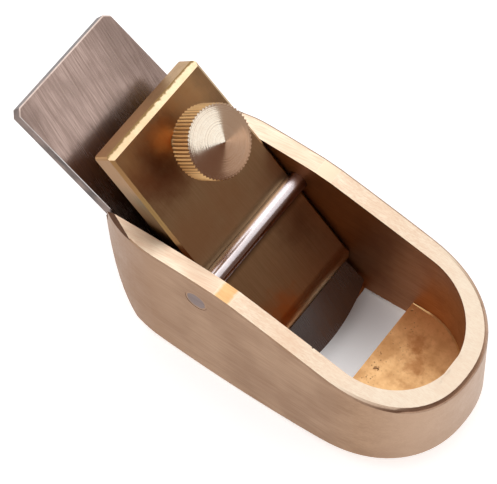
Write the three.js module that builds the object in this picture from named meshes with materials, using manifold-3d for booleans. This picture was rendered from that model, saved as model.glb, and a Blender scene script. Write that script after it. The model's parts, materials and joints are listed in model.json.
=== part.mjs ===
// A finger plane: a palm-sized brass plane for hollowing and smoothing curved wood.
// Lengths are in millimetres and angles in degrees. +X runs to the toe, +Y across, +Z up.
// The origin is on the sole, in the middle of the small flat that the plane rests on.

import * as THREE from 'three';
import { mergeVertices } from 'three/addons/utils/BufferGeometryUtils.js';
import Module from 'manifold-3d';

const wasm = await Module();
wasm.setup();

// Clearances between the pieces, and the overrun of every cut
const seatGap = 0.3;
const pinFit = 0.06;
const grooveFit = 0.1;
const threadFit = 0.1;
const overrun = 4;
const weldDistance = 1e-5; // corners closer than this are one corner

// Cutting iron
const ironWidth = 18;
const ironThickness = 2;
const ironLength = 49;
const ironSetback = 4.18; // how far the edge is drawn back from the resting flat's level
const edgeCamberRadius = 26;
const edgeBevelAngle = 28;
const tailCornerClip = 0.75;

// Body: one brass casting, milled out
const wallThickness = 2.43;
const toeWall = 2.6;
const bodyLength = 47.9;
const restToToe = 28.3; // from the resting flat's middle to the toe's tip
const toeRoundLength = 13.8;
const toeRoundPower = 2.26; // 2 is a plain ellipse, more is squarer
const heelTaperLength = 9.5;
const heelTaperRadius = 17.8;
const heelBottomReach = 8.9; // how far the heel's back sweeps in by the sole
const heelBackStraight = 0.4; // the upright stretch above that sweep
const crestOverPin = 4.19; // from the pin's axis up to the crest of the side walls
const heelDrop = 1; // from the crest down to the heel's top
const toeDrop = 6.6;
const crestBehindToe = 29.6;
const crestFlatLength = 2.4;
const crestFlatDrop = 0.25;
const toeTopBulge = 0.2; // how far the falling top edge swells above a straight line
const heelTopBulge = 0.3;
const floorHeight = 4.44; // of the well in front of the mouth
const soleRadiusAlong = 106.5;
const soleRadiusAcross = 91;
const restFlatDepth = 0.17; // how deep the resting flat cuts the rounded sole

// Mouth and bed
const mouthBehindToe = 14.43;
const mouthLength = 7.24;
const bedLipHeight = 0.5;
const bedSlope = 34.1;

// Lever cap, measured in its own frame: forward along its top face, and up off that face
const capSlope = 45.85;
const capLipSetback = 5.22; // along the iron, from the bed's lower end to the lip
const capLipThickness = 2.17;
const capLipToPin = 13.64;
const capTailReach = 20.8;
const capTailThickness = 3.4;
const capPinThickness = 2.5;
const capTopBelowPin = 0.48; // the pin's axis stands this far over the top face
const capNoseLength = 3.05;
const capLipLand = 0.9;
const capReliefLength = 3.2;
const capTailChamfer = 0.8;
const capSideGap = 0.4;
const capTailTaper = 0.3;
const capTaperLength = 16;
const capSideShift = 0.2; // the loose cap lies over towards +Y
const capLipCornerRadius = 1.5;
const capTailCornerRadius = 0.9;

// Cross pin
const pinDiameter = 2.6;
const pinHeadDiameter = 3.2;
const pinHeadDepth = 0.6;

// Thumbscrew: a knurled head on a threaded stud
const screwBehindPin = 14.96;
const screwSideShift = 0.2; // its hole is drilled a little off the cap's middle
const studDiameter = 3;
const studNeckDiameter = 2.3;
const studTipRadius = 1.1;
const headRadius = 4.65;
const headHeight = 3.75;
const headStandoff = 4.64; // between the cap's top face and the head
const headConeHeight = 0.95;
const headRimChamfer = 0.25;
const headSocketDepth = 2.3;
const knurlDepth = 0.22;
const knurlCount = 58;

// Fineness of the round stretches
const toeSteps = 40;
const arcSteps = 12;
const roundSides = 40;
const studSides = 32;
const soleSides = 240;
const soleStrips = 12;

// Sizes that follow from the ones above
const cavityWidth = ironWidth + 2 * seatGap;
const bodyWidth = cavityWidth + 2 * wallThickness;
const toeX = restToToe;
const heelX = toeX - bodyLength;
const mouthFrontX = toeX - mouthBehindToe;
const mouthRearX = mouthFrontX - mouthLength;
const toeArcX = toeX - toeWall - cavityWidth / 2;
const bed = THREE.MathUtils.degToRad(bedSlope);
const cap = THREE.MathUtils.degToRad(capSlope);
const wedge = cap - bed;
const pinRadius = pinDiameter / 2;
const capFrontWidth = cavityWidth - 2 * capSideGap;
const headBottom = headStandoff; // over the cap's top face
const headTop = headStandoff + headHeight;
const neckRadius = studNeckDiameter / 2;

// A point in the side view: distances along a slope and off it, from a starting point.
function alongSlope(start, angle, forward, up) {
  return new THREE.Vector2(
    start.x + forward * Math.cos(angle) + up * Math.sin(angle),
    start.y - forward * Math.sin(angle) + up * Math.cos(angle),
  );
}

const bedFoot = new THREE.Vector2(mouthRearX, bedLipHeight);
const ironTopFoot = alongSlope(bedFoot, bed, 0, seatGap + ironThickness);
const capLip = alongSlope(ironTopFoot, bed, -capLipSetback, seatGap);
const pinAxis = alongSlope(capLip, cap, -capLipToPin, capLipThickness + capTopBelowPin);
const crestHeight = pinAxis.y + crestOverPin;
const heelTopHeight = crestHeight - heelDrop;
const heelBottomRise = heelTopHeight - heelBackStraight;
const toeTopHeight = crestHeight - toeDrop;

// Height of the iron's top face in the cap's frame, whose origin is the pin's axis.
function ironInCapFrame(forward) {
  const lipUp = -capLipThickness - capTopBelowPin;
  return lipUp - seatGap / Math.cos(wedge) + (forward - capLipToPin) * Math.tan(wedge);
}

// Solids from closed geometries, and geometries back from solids
function solid(geometry) {
  geometry.deleteAttribute('normal');
  geometry.deleteAttribute('uv');
  const merged = mergeVertices(geometry, weldDistance);
  return new wasm.Manifold(
    new wasm.Mesh({
      numProp: 3,
      vertProperties: merged.attributes.position.array,
      triVerts: new Uint32Array(merged.index.array),
    }),
  );
}

function geometryOf(made) {
  const mesh = made.getMesh();
  const indexed = new THREE.BufferGeometry();
  indexed.setAttribute('position', new THREE.BufferAttribute(mesh.vertProperties, 3));
  indexed.setIndex(new THREE.BufferAttribute(mesh.triVerts, 1));
  const geometry = indexed.toNonIndexed();
  geometry.computeVertexNormals();
  return geometry;
}

// A plan outline raised from one height to another.
function raised(shape, low, high) {
  const geometry = new THREE.ExtrudeGeometry(shape, {
    depth: high - low,
    bevelEnabled: false,
    curveSegments: arcSteps,
  });
  return solid(geometry.translate(0, 0, low));
}

// A side outline, drawn in X and Z, carried across to a half width on both sides.
function across(shape, halfWidth) {
  const geometry = new THREE.ExtrudeGeometry(shape, {
    depth: 2 * halfWidth,
    bevelEnabled: false,
    curveSegments: arcSteps,
  });
  return solid(geometry.rotateX(Math.PI / 2).translate(0, halfWidth, 0));
}

// A profile of radius and height turned about Z.
function turned(points, sides) {
  const profile = points.map(([radius, height]) => new THREE.Vector2(radius, height));
  return solid(new THREE.LatheGeometry(profile, sides).rotateX(Math.PI / 2));
}

// A profile of radius and distance along Y, turned about an axis along Y.
function turnedAcross(points, sides, x, z) {
  const profile = points.map(([radius, along]) => new THREE.Vector2(radius, along));
  return solid(new THREE.LatheGeometry(profile, sides).translate(x, 0, z));
}

function brass(color, roughness) {
  return new THREE.MeshStandardMaterial({ color, roughness, metalness: 1 });
}

function piece(name, made, material) {
  const mesh = new THREE.Mesh(geometryOf(made), material);
  mesh.name = name;
  return mesh;
}

// Plan of the body: a squared ellipse at the toe, straight sides, a drawn-in heel.
function outerPlan() {
  const half = bodyWidth / 2;
  const roundX = toeX - toeRoundLength;
  const points = [];
  for (let i = 0; i <= toeSteps; i++) {
    const turn = -Math.PI / 2 + (Math.PI * i) / toeSteps;
    const ahead = Math.max(0, Math.cos(turn)) ** (2 / toeRoundPower);
    const side = Math.sign(Math.sin(turn)) * Math.abs(Math.sin(turn)) ** (2 / toeRoundPower);
    points.push(new THREE.Vector2(roundX + toeRoundLength * ahead, half * side));
  }
  const taperX = heelX + heelTaperLength;
  const reach = Math.asin(Math.min(1, heelTaperLength / heelTaperRadius));
  for (const side of [1, -1]) {
    for (let i = 0; i <= arcSteps; i++) {
      const turn = (reach * (side > 0 ? i : arcSteps - i)) / arcSteps;
      const drawnIn = heelTaperRadius * (1 - Math.cos(turn));
      const x = taperX - heelTaperRadius * Math.sin(turn);
      points.push(new THREE.Vector2(x, side * (half - drawnIn)));
    }
  }
  return new THREE.Shape(points);
}

// Plan of the cavity: as wide as the iron and its play, ending in a half circle.
function cavityPlan() {
  const half = cavityWidth / 2;
  const shape = new THREE.Shape();
  shape.moveTo(heelX - overrun, -half);
  shape.lineTo(toeArcX, -half);
  for (let i = 1; i < toeSteps; i++) {
    const turn = -Math.PI / 2 + (Math.PI * i) / toeSteps;
    shape.lineTo(toeArcX + half * Math.cos(turn), half * Math.sin(turn));
  }
  shape.lineTo(toeArcX, half);
  shape.lineTo(heelX - overrun, half);
  return shape;
}

// Side view of the body: a low swell from the heel to the crest, then a long fall to the toe.
function bodySide() {
  const crestX = toeX - crestBehindToe;
  const fallX = crestX + crestFlatLength;
  const fallTop = crestHeight - crestFlatDrop;
  const footX = heelX + heelBottomReach;
  const shape = new THREE.Shape();
  shape.moveTo(toeX + overrun, -overrun);
  shape.lineTo(toeX + overrun, toeTopHeight);
  shape.lineTo(toeX, toeTopHeight);
  shape.quadraticCurveTo(
    (toeX + fallX) / 2,
    (toeTopHeight + fallTop) / 2 + 2 * toeTopBulge,
    fallX,
    fallTop,
  );
  shape.lineTo(crestX, crestHeight);
  shape.quadraticCurveTo(
    (crestX + heelX) / 2,
    (crestHeight + heelTopHeight) / 2 + 2 * heelTopBulge,
    heelX,
    heelTopHeight,
  );
  shape.lineTo(heelX, heelBottomRise);
  shape.absellipse(
    footX,
    heelBottomRise,
    heelBottomReach,
    heelBottomRise,
    Math.PI,
    1.5 * Math.PI,
  );
  shape.lineTo(footX, -overrun);
  return shape;
}

// Side view of the hollow: down the bed, through the mouth, and forward over the floor.
function hollowSide() {
  const top = Math.max(crestHeight, heelTopHeight, toeTopHeight) + overrun;
  const bedTail = alongSlope(bedFoot, bed, -(bedFoot.x - heelX + overrun) / Math.cos(bed), 0);
  const shape = new THREE.Shape();
  shape.moveTo(bedTail.x, bedTail.y);
  shape.lineTo(bedFoot.x, bedFoot.y);
  shape.lineTo(mouthRearX, -overrun);
  shape.lineTo(mouthFrontX, -overrun);
  shape.lineTo(mouthFrontX, floorHeight);
  shape.lineTo(toeX, floorHeight);
  shape.lineTo(toeX, top);
  shape.lineTo(bedTail.x, Math.max(top, bedTail.y + overrun));
  return shape;
}

// The rounded sole is the belly of a wide barrel that lies across the plane.
function soleBarrel() {
  const half = bodyWidth / 2 + overrun;
  const points = [[0, -half]];
  for (let i = 0; i <= soleStrips; i++) {
    const y = -half + (2 * half * i) / soleStrips;
    const rise = soleRadiusAcross - Math.sqrt(soleRadiusAcross ** 2 - y ** 2);
    points.push([soleRadiusAlong - rise, y]);
  }
  points.push([0, half]);
  return turnedAcross(points, soleSides, 0, soleRadiusAlong - restFlatDepth);
}

// Everything above the resting flat.
function aboveRest() {
  const half = bodyWidth / 2 + overrun;
  const shape = new THREE.Shape();
  shape.moveTo(heelX - overrun, -half);
  shape.lineTo(toeX + overrun, -half);
  shape.lineTo(toeX + overrun, half);
  shape.lineTo(heelX - overrun, half);
  return raised(shape, 0, crestHeight + overrun);
}

// The cross pin, or its hole when it is grown by the fit: both ends swell into riveted heads.
function pinSolid(grow, runOut) {
  const half = bodyWidth / 2;
  const shank = pinRadius + grow;
  const head = pinHeadDiameter / 2 + grow;
  const points = [
    [0, -half - runOut],
    [head, -half - runOut],
    [head, -half],
    [shank, -half + pinHeadDepth],
    [shank, half - pinHeadDepth],
    [head, half],
    [head, half + runOut],
    [0, half + runOut],
  ];
  const outline = runOut > 0 ? points : points.filter((p, i) => i !== 1 && i !== points.length - 2);
  return turnedAcross(outline, roundSides, pinAxis.x, pinAxis.y);
}

function planeBody() {
  const block = raised(outerPlan(), -overrun, crestHeight + overrun)
    .intersect(across(bodySide(), bodyWidth))
    .intersect(soleBarrel())
    .intersect(aboveRest());
  const top = crestHeight + 2 * overrun;
  const hollow = raised(cavityPlan(), -2 * overrun, top).intersect(across(hollowSide(), bodyWidth));
  return block.subtract(hollow).subtract(pinSolid(pinFit, overrun));
}

// The iron lies along its own X, with the edge at X = 0 and its top face at Z = 0.
function cuttingIron() {
  const half = ironWidth / 2;
  const clip = tailCornerClip;
  const bevelRun = ironThickness / Math.tan(THREE.MathUtils.degToRad(edgeBevelAngle));
  const camberX = -edgeCamberRadius;
  const shape = new THREE.Shape();
  shape.moveTo(-ironLength + clip, -half);
  shape.lineTo(overrun, -half);
  shape.lineTo(overrun, half);
  shape.lineTo(-ironLength + clip, half);
  shape.lineTo(-ironLength, half - clip);
  shape.lineTo(-ironLength, -half + clip);
  const plate = raised(shape, -ironThickness, 0);
  const ground = turned(
    [
      [0, -ironThickness],
      [edgeCamberRadius - bevelRun, -ironThickness],
      [edgeCamberRadius, 0],
      [0, 0],
    ],
    6 * roundSides,
  ).translate([camberX, 0, 0]);
  const tail = new THREE.Shape();
  tail.moveTo(-ironLength - overrun, -half - overrun);
  tail.lineTo(camberX, -half - overrun);
  tail.lineTo(camberX, half + overrun);
  tail.lineTo(-ironLength - overrun, half + overrun);
  const behind = raised(tail, -ironThickness - overrun, overrun);
  return plate.intersect(behind).add(plate.intersect(ground));
}

// Plan of the lever cap: drawn in towards the tail, with rounded corners.
function capPlan() {
  const front = capLipToPin;
  const tail = -capTailReach;
  const half = capFrontWidth / 2;
  const tailHalf = half - capTailTaper;
  const shape = new THREE.Shape();
  shape.moveTo(tail + capTailCornerRadius, -tailHalf);
  shape.lineTo(tail + capTaperLength, -half);
  shape.lineTo(front - capLipCornerRadius, -half);
  shape.quadraticCurveTo(front, -half, front, -half + capLipCornerRadius);
  shape.lineTo(front, half - capLipCornerRadius);
  shape.quadraticCurveTo(front, half, front - capLipCornerRadius, half);
  shape.lineTo(tail + capTaperLength, half);
  shape.lineTo(tail + capTailCornerRadius, tailHalf);
  shape.quadraticCurveTo(tail, tailHalf, tail, tailHalf - capTailCornerRadius);
  shape.lineTo(tail, -tailHalf + capTailCornerRadius);
  shape.quadraticCurveTo(tail, -tailHalf, tail + capTailCornerRadius, -tailHalf);
  return shape;
}

// Side view of the lever cap: a flat top, a rounded nose, a narrow lip, and a relieved underside.
function capSide() {
  const top = -capTopBelowPin;
  const lipUp = top - capLipThickness;
  const front = capLipToPin;
  const tail = -capTailReach;
  const landUp = lipUp - capLipLand * Math.tan(wedge);
  const thinning = (capTailThickness - capPinThickness) / capTailReach;
  const reliefX = front - capLipLand - capReliefLength;
  const shape = new THREE.Shape();
  shape.moveTo(tail, top - capTailChamfer);
  shape.lineTo(tail, top - capTailThickness);
  shape.lineTo(reliefX, top - capPinThickness + thinning * reliefX);
  shape.lineTo(front - capLipLand, landUp);
  shape.lineTo(front, lipUp);
  shape.absellipse(front - capNoseLength, lipUp, capNoseLength, capLipThickness, 0, Math.PI / 2);
  shape.lineTo(tail + capTailChamfer, top);
  return shape;
}

function leverCap() {
  const blank = across(capSide(), bodyWidth)
    .intersect(raised(capPlan(), -bodyWidth, bodyWidth))
    .translate([0, capSideShift, 0]);
  const groove = turnedAcross(
    [
      [0, -bodyWidth],
      [pinRadius + grooveFit, -bodyWidth],
      [pinRadius + grooveFit, bodyWidth],
      [0, bodyWidth],
    ],
    roundSides,
    0,
    0,
  );
  const hole = turned(
    [
      [0, -bodyWidth],
      [studDiameter / 2 + threadFit, -bodyWidth],
      [studDiameter / 2 + threadFit, bodyWidth],
      [0, bodyWidth],
    ],
    studSides,
  ).translate([-screwBehindPin, capSideShift + screwSideShift, 0]);
  return blank.subtract(groove).subtract(hole);
}

// The screw's pieces stand on their own axis, with the cap's top face at Z = 0.
function knurledHead() {
  const shape = new THREE.Shape();
  for (let i = 0; i < 2 * knurlCount; i++) {
    const turn = (Math.PI * i) / knurlCount;
    const r = i % 2 ? headRadius - knurlDepth : headRadius;
    if (i) shape.lineTo(r * Math.cos(turn), r * Math.sin(turn));
    else shape.moveTo(r, 0);
  }
  const rim = headRadius - headRimChamfer;
  const knurled = raised(shape, headBottom - overrun, headTop + overrun);
  const envelope = turned(
    [
      [0, headBottom],
      [rim, headBottom],
      [headRadius, headBottom + headRimChamfer],
      [headRadius, headTop - headRimChamfer],
      [rim, headTop],
      [0, headTop + headConeHeight],
    ],
    2 * knurlCount,
  );
  const socket = turned(
    [
      [0, headBottom - overrun],
      [neckRadius + threadFit, headBottom - overrun],
      [neckRadius + threadFit, headBottom + headSocketDepth],
      [0, headBottom + headSocketDepth],
    ],
    studSides,
  );
  return knurled.intersect(envelope).subtract(socket);
}

// The stud's domed tip just clears the iron's top face, square to that face.
function threadedStud() {
  const tipUp = ironInCapFrame(-screwBehindPin) + capTopBelowPin;
  const domeUp = tipUp + (studTipRadius + seatGap) / Math.cos(wedge);
  const shoulder = headBottom - seatGap;
  const thread = studDiameter / 2;
  const points = [[0, domeUp - studTipRadius]];
  for (let i = 1; i <= arcSteps / 2; i++) {
    const turn = (Math.PI * i) / arcSteps;
    points.push([studTipRadius * Math.sin(turn), domeUp - studTipRadius * Math.cos(turn)]);
  }
  points.push([thread, domeUp + (thread - studTipRadius)]);
  points.push([thread, shoulder]);
  points.push([neckRadius, shoulder]);
  points.push([neckRadius, headBottom + headSocketDepth - threadFit]);
  points.push([0, headBottom + headSocketDepth - threadFit]);
  return turned(points, studSides);
}

const plane = new THREE.Group();
plane.add(piece('plane_body', planeBody(), brass(0xd9a878, 0.35)));
const pinSteel = new THREE.MeshStandardMaterial({ color: 0xc9c6c8, roughness: 0.15, metalness: 1 });
plane.add(piece('cross_pin', pinSolid(0, 0), pinSteel));

// The iron's edge lies down the bed, its setback short of the resting flat's level.
const ironGroup = new THREE.Group();
const soleReach = ironTopFoot.y / Math.sin(bed);
const edge = alongSlope(ironTopFoot, bed, soleReach - ironSetback, 0);
ironGroup.position.set(edge.x, 0, edge.y);
ironGroup.rotation.y = bed;
const ironSteel = new THREE.MeshStandardMaterial({ color: 0x9d8f8a, roughness: 0.4, metalness: 1 });
ironGroup.add(piece('cutting_iron', cuttingIron(), ironSteel));
plane.add(ironGroup);

// The clamp turns about the pin's axis: the cap, and the screw that stands on it.
const clampGroup = new THREE.Group();
clampGroup.position.set(pinAxis.x, 0, pinAxis.y);
clampGroup.rotation.y = cap;
clampGroup.add(piece('lever_cap', leverCap(), brass(0x8a6238, 0.4)));

const screwGroup = new THREE.Group();
screwGroup.position.set(-screwBehindPin, capSideShift + screwSideShift, -capTopBelowPin);
screwGroup.add(piece('thumbscrew_head', knurledHead(), brass(0xcf9a68, 0.35)));
screwGroup.add(piece('thumbscrew_stud', threadedStud(), brass(0xb98a55, 0.4)));
clampGroup.add(screwGroup);
plane.add(clampGroup);

export default plane;
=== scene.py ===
# A brass finger plane on a pale floor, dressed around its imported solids.
import json
import math

import bmesh
import bpy
from mathutils import Matrix, Vector


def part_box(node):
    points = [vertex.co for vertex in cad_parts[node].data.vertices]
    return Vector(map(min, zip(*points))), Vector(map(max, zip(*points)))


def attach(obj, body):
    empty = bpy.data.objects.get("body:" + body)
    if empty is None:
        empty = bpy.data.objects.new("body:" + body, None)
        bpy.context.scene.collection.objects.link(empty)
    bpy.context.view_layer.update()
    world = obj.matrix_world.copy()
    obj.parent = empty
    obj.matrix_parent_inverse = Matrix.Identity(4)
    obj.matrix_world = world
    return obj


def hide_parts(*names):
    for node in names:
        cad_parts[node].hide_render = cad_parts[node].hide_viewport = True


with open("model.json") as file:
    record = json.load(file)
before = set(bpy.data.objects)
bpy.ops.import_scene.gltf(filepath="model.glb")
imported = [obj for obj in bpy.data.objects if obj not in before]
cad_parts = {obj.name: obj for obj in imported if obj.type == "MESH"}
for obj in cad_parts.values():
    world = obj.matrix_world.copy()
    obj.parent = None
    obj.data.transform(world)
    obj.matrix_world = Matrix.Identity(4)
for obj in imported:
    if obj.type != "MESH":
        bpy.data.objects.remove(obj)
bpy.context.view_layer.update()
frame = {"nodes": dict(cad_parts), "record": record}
mm = 0.001
print("loaded", len(frame["nodes"]), "solids")

joints = {joint["name"]: joint for joint in frame["record"]["behaviour"]["joints"]}
pinAxis = Vector(joints["cap_tilt"]["pos_m"])
screwAxis = Vector(joints["head_turn"]["axis"])
screwPlace = Vector(joints["head_turn"]["pos_m"])
capTurn = math.atan2(screwAxis.x, screwAxis.z)
ironForward = Vector(joints["iron_slide"]["axis"])
bedTurn = math.atan2(-ironForward.z, ironForward.x)


# Camera, floor and light
viewer = {
    "azimuth": 38.102,
    "elevation": 60.501,
    "roll": -2.0,
    "distance": 383.7 * mm,
    "target": Vector((-6.06, 1.78, 10.02)) * mm,
    "lens": 222.86,
    "sensorWidth": 36,
    "nearClip": 10 * mm,
}


def addCamera():
    azimuth, elevation = math.radians(viewer["azimuth"]), math.radians(viewer["elevation"])
    back = Vector((
        math.sin(azimuth) * math.cos(elevation),
        -math.cos(azimuth) * math.cos(elevation),
        math.sin(elevation),
    ))
    right = Vector((0, 0, 1)).cross(back).normalized()
    turn = Matrix((right, back.cross(right), back)).transposed().to_4x4()
    turn = turn @ Matrix.Rotation(math.radians(viewer["roll"]), 4, "Z")
    data = bpy.data.cameras.new("camera")
    data.lens = viewer["lens"]
    data.sensor_width = viewer["sensorWidth"]
    data.clip_start = viewer["nearClip"]
    camera = bpy.data.objects.new("camera", data)
    camera.matrix_world = Matrix.Translation(viewer["target"] + back * viewer["distance"]) @ turn
    bpy.context.scene.collection.objects.link(camera)
    bpy.context.scene.camera = camera


# Shader values that Python's arithmetic can be done on
class Wire:
    def __init__(self, tree, socket=None):
        self.tree, self.socket = tree, socket

    def node(self, kind, settings=None, inputs=None, output=0):
        made = self.tree.nodes.new(kind)
        for key, value in (settings or {}).items():
            setattr(made, key, value)
        for key, value in (inputs or {}).items():
            if isinstance(value, Wire):
                self.tree.links.new(value.socket, made.inputs[key])
            else:
                made.inputs[key].default_value = value
        return Wire(self.tree, made.outputs[output])

    def feed(self, node, name):
        self.tree.links.new(self.socket, node.inputs[name])

    def math(self, operation, *others):
        return self.node("ShaderNodeMath", {"operation": operation}, dict(enumerate((self, *others))))

    def __add__(self, other):
        return self.math("ADD", other)

    def __sub__(self, other):
        return self.math("SUBTRACT", other)

    def __rsub__(self, other):
        return self.node("ShaderNodeMath", {"operation": "SUBTRACT"}, {0: other, 1: self})

    def __mul__(self, other):
        return self.math("MULTIPLY", other)

    __radd__ = __add__
    __rmul__ = __mul__

    def fade(self, start, end):
        # 0 at start and 1 at end, with soft shoulders; start may be the larger one
        low, high, first, last = (start, end, 0.0, 1.0) if start < end else (end, start, 1.0, 0.0)
        return self.node(
            "ShaderNodeMapRange",
            {"interpolation_type": "SMOOTHSTEP"},
            {0: self, 1: low, 2: high, 3: first, 4: last},
        )

    def tinted(self, share, shade):
        # another screen colour laid over this one
        return blendColors(share, self, tint(*shade))

    def shaded(self, value, start, end, share, shade):
        # another colour comes in along a value, from none at start to its full share at end
        return self.tinted(value.fade(start, end) * share, shade)

    def ragged(self, noise, amount):
        # pushed back and forth by a noise, by half the amount each way
        return self + (noise - 0.5) * amount

    def wavy(self, spot, size, amount):
        return self.ragged(spot.noise(size, 3.0, 0.6), amount)

    # the place on the object that is shaded, and what is done with places
    def spot(self):
        return self.node("ShaderNodeTexCoord", output="Object")

    def axis(self, letter):
        return self.node("ShaderNodeSeparateXYZ", None, {0: self}, letter)

    def moved(self, turn=(0, 0, 0), scale=(1, 1, 1), shift=(0, 0, 0)):
        inputs = {"Vector": self, "Location": shift, "Rotation": turn, "Scale": scale}
        return self.node("ShaderNodeMapping", {"vector_type": "POINT"}, inputs)

    def noise(self, size, detail=3.0, roughness=0.55):
        inputs = {"Vector": self, "Scale": 1 / size, "Detail": detail, "Roughness": roughness}
        return self.node("ShaderNodeTexNoise", None, inputs)

    def vectorMath(self, operation, other=None, output="Value"):
        inputs = {0: self} if other is None else {0: self, 1: other}
        return self.node("ShaderNodeVectorMath", {"operation": operation}, inputs, output)

    def reachAlong(self, direction):
        return self.vectorMath("DOT_PRODUCT", direction)

    def awayFrom(self, place):
        return self.vectorMath("DISTANCE", place)

    def awayFromAxis(self, place, direction):
        arm = self.vectorMath("SUBTRACT", place, "Vector")
        return arm.vectorMath("CROSS_PRODUCT", direction, "Vector").vectorMath("LENGTH")


def tint(red, green, blue):
    # a screen colour, 0 to 255, as the shader's linear one
    def linear(value):
        value /= 255
        return value / 12.92 if value <= 0.04045 else ((value + 0.055) / 1.055) ** 2.4

    return (linear(red), linear(green), linear(blue), 1)


def blendColors(factor, first, second):
    # 6, 7 and the last 2 are the Mix node's colour sockets
    return factor.node("ShaderNodeMix", {"data_type": "RGBA"}, {0: factor, 6: first, 7: second}, 2)


def newMaterial(name):
    material = bpy.data.materials.new(name)
    material.use_nodes = True
    return material, material.node_tree.nodes["Principled BSDF"], Wire(material.node_tree)


# The room: white above and behind, one soft lamp overhead, and a warm dark card past the toe
room = {
    "floorHalf": 3.0,
    "floorDrop": 0.02 * mm,
    "floorColor": (232, 230, 230),
    "floorRoughness": 0.9,
    "floorGlow": 0.5,
    # where the floor's glow fades out under the plane, as a painted shadow
    "shadePlace": Vector((6, 8, 0)) * mm,
    "shadeRange": (2 * mm, 15 * mm),
    "skyStrength": 0.95,
    "keyToward": Vector((-0.304, 0.387, 0.870)),
    "keyDistance": 0.9,
    "keySize": 0.55,
    "keyPower": 0.42,
    "cardPlace": Vector((0.3, 0.15, 0.0)),
    "cardWidth": 1.1,
    "cardHeight": 0.27,
    "cardSunk": 0.12,
    "cardRoll": math.radians(9),
    "cardFoot": 0.035,
    # where along Y it turns pale, and its dark and its pale colour
    "cardShades": ((0.02, 0.3), (104, 74, 60), (158, 136, 122)),
    "footShades": ((0.08, 0.2), (166, 138, 122), (204, 172, 152)),
    "matFrom": 0.07,
    "matHeight": 0.001,
}


def seenDirectly(start):
    # 1 for rays that go to the camera, or by way of gloss or glass, and otherwise 0
    seen = start.node("ShaderNodeLightPath", output="Is Camera Ray")
    outputs = seen.socket.node.outputs
    for ray in ("Is Glossy Ray", "Is Transmission Ray"):
        seen = seen + Wire(start.tree, outputs[ray])
    return seen.math("MINIMUM", 1)


def addRoom():
    world = bpy.data.worlds.new("studio")
    bpy.context.scene.world = world
    world.use_nodes = True
    background = world.node_tree.nodes["Background"]
    background.inputs["Color"].default_value = (1, 1, 1, 1)
    strength = seenDirectly(Wire(world.node_tree)) * (1 - room["skyStrength"]) + room["skyStrength"]
    strength.feed(background, "Strength")

    bpy.ops.mesh.primitive_plane_add(size=2 * room["floorHalf"], location=(0, 0, -room["floorDrop"]))
    floor = bpy.context.object
    floor.name = "floor"
    material, shader, start = newMaterial("paleFloor")
    shader.inputs["Base Color"].default_value = tint(*room["floorColor"])
    shader.inputs["Roughness"].default_value = room["floorRoughness"]
    shader.inputs["Specular IOR Level"].default_value = 0
    shader.inputs["Emission Color"].default_value = (1, 1, 1, 1)
    # the glow fades out under the plane: a painted contact shadow
    unshaded = start.spot().awayFrom(room["shadePlace"]).fade(*room["shadeRange"])
    glow = seenDirectly(start) * unshaded * room["floorGlow"]
    glow.feed(shader, "Emission Strength")
    floor.data.materials.append(material)

    lamp = bpy.data.lights.new("overheadSoftbox", "AREA")
    lamp.size = room["keySize"]
    lamp.energy = room["keyPower"]
    key = bpy.data.objects.new("overheadSoftbox", lamp)
    toward = room["keyToward"].normalized()
    facingDown = toward.to_track_quat("Z", "Y").to_matrix().to_4x4()
    key.matrix_world = Matrix.Translation(toward * room["keyDistance"]) @ facingDown
    bpy.context.scene.collection.objects.link(key)
    addCard()


def addCard():
    # a standing card and a mat before it, seen only in the metal's reflections
    place = room["cardPlace"]
    top, foot = room["cardHeight"], -room["cardSunk"]
    # the standing one leans sideways, so it goes on below the floor
    standing = (
        Matrix.Translation(place)
        @ Matrix.Rotation(room["cardRoll"], 4, "X")
        @ Matrix.Translation((0, 0, (top + foot) / 2))
        @ Matrix.Rotation(math.pi / 2, 4, "Y")
        @ Matrix.Diagonal((top - foot, room["cardWidth"], 1, 1))
    )
    reach = place.x - room["matFrom"]
    lying = (
        Matrix.Translation((place.x - reach / 2, place.y, room["matHeight"]))
        @ Matrix.Diagonal((reach, room["cardWidth"], 1, 1))
    )
    material, shader, start = newMaterial("cardGradient")
    start.tree.nodes.remove(shader)
    spot = start.spot()

    def acrossCard(reach, dark, pale):
        return blendColors(spot.axis("Y").fade(*reach), tint(*dark), tint(*pale))

    low = spot.axis("Z").fade(room["cardFoot"], 0)
    color = blendColors(low, acrossCard(*room["cardShades"]), acrossCard(*room["footShades"]))
    glow = start.node("ShaderNodeEmission", None, {"Color": color, "Strength": 1})
    glow.feed(start.tree.nodes["Material Output"], "Surface")
    for name, matrix in (("darkCard", standing), ("darkMat", lying)):
        bpy.ops.mesh.primitive_plane_add(size=1)
        card = bpy.context.object
        card.name = name
        card.data.transform(matrix)
        card.data.materials.append(material)
        card.visible_camera = card.visible_diffuse = card.visible_shadow = False


addCamera()
addRoom()
print("camera, floor and light are in place")


# Working on a mesh in edit mode, with what is selected told by its place or normal
samePlace = 0.01 * mm
cutTolerance = 0.0005 * mm
facing = 0.9  # a face looks along an axis when its normal has more than this of it
leaning = 0.5  # and partly along it when its normal has more than this
sameWay = 0.995  # two directions with at least this cosine between them count as one


def takeUp(piece):
    bpy.ops.object.select_all(action="DESELECT")
    piece.select_set(True)
    bpy.context.view_layer.objects.active = piece


def openMesh(piece):
    takeUp(piece)
    bpy.ops.object.mode_set(mode="EDIT")
    bpy.ops.mesh.select_mode(type="VERT")
    bpy.ops.mesh.select_all(action="DESELECT")


def closeMesh():
    bpy.ops.object.mode_set(mode="OBJECT")


def pickAll():
    bpy.ops.mesh.select_all(action="SELECT")


def pick(piece, kind, test):
    # the verts or the faces that pass the test, and nothing else
    bpy.ops.mesh.select_mode(type={"verts": "VERT", "faces": "FACE"}[kind])
    bpy.ops.mesh.select_all(action="DESELECT")
    mesh = bmesh.from_edit_mesh(piece.data)
    for part in getattr(mesh, kind):
        if test(part):
            part.select_set(True)
    mesh.select_flush_mode()
    bmesh.update_edit_mesh(piece.data)


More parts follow.
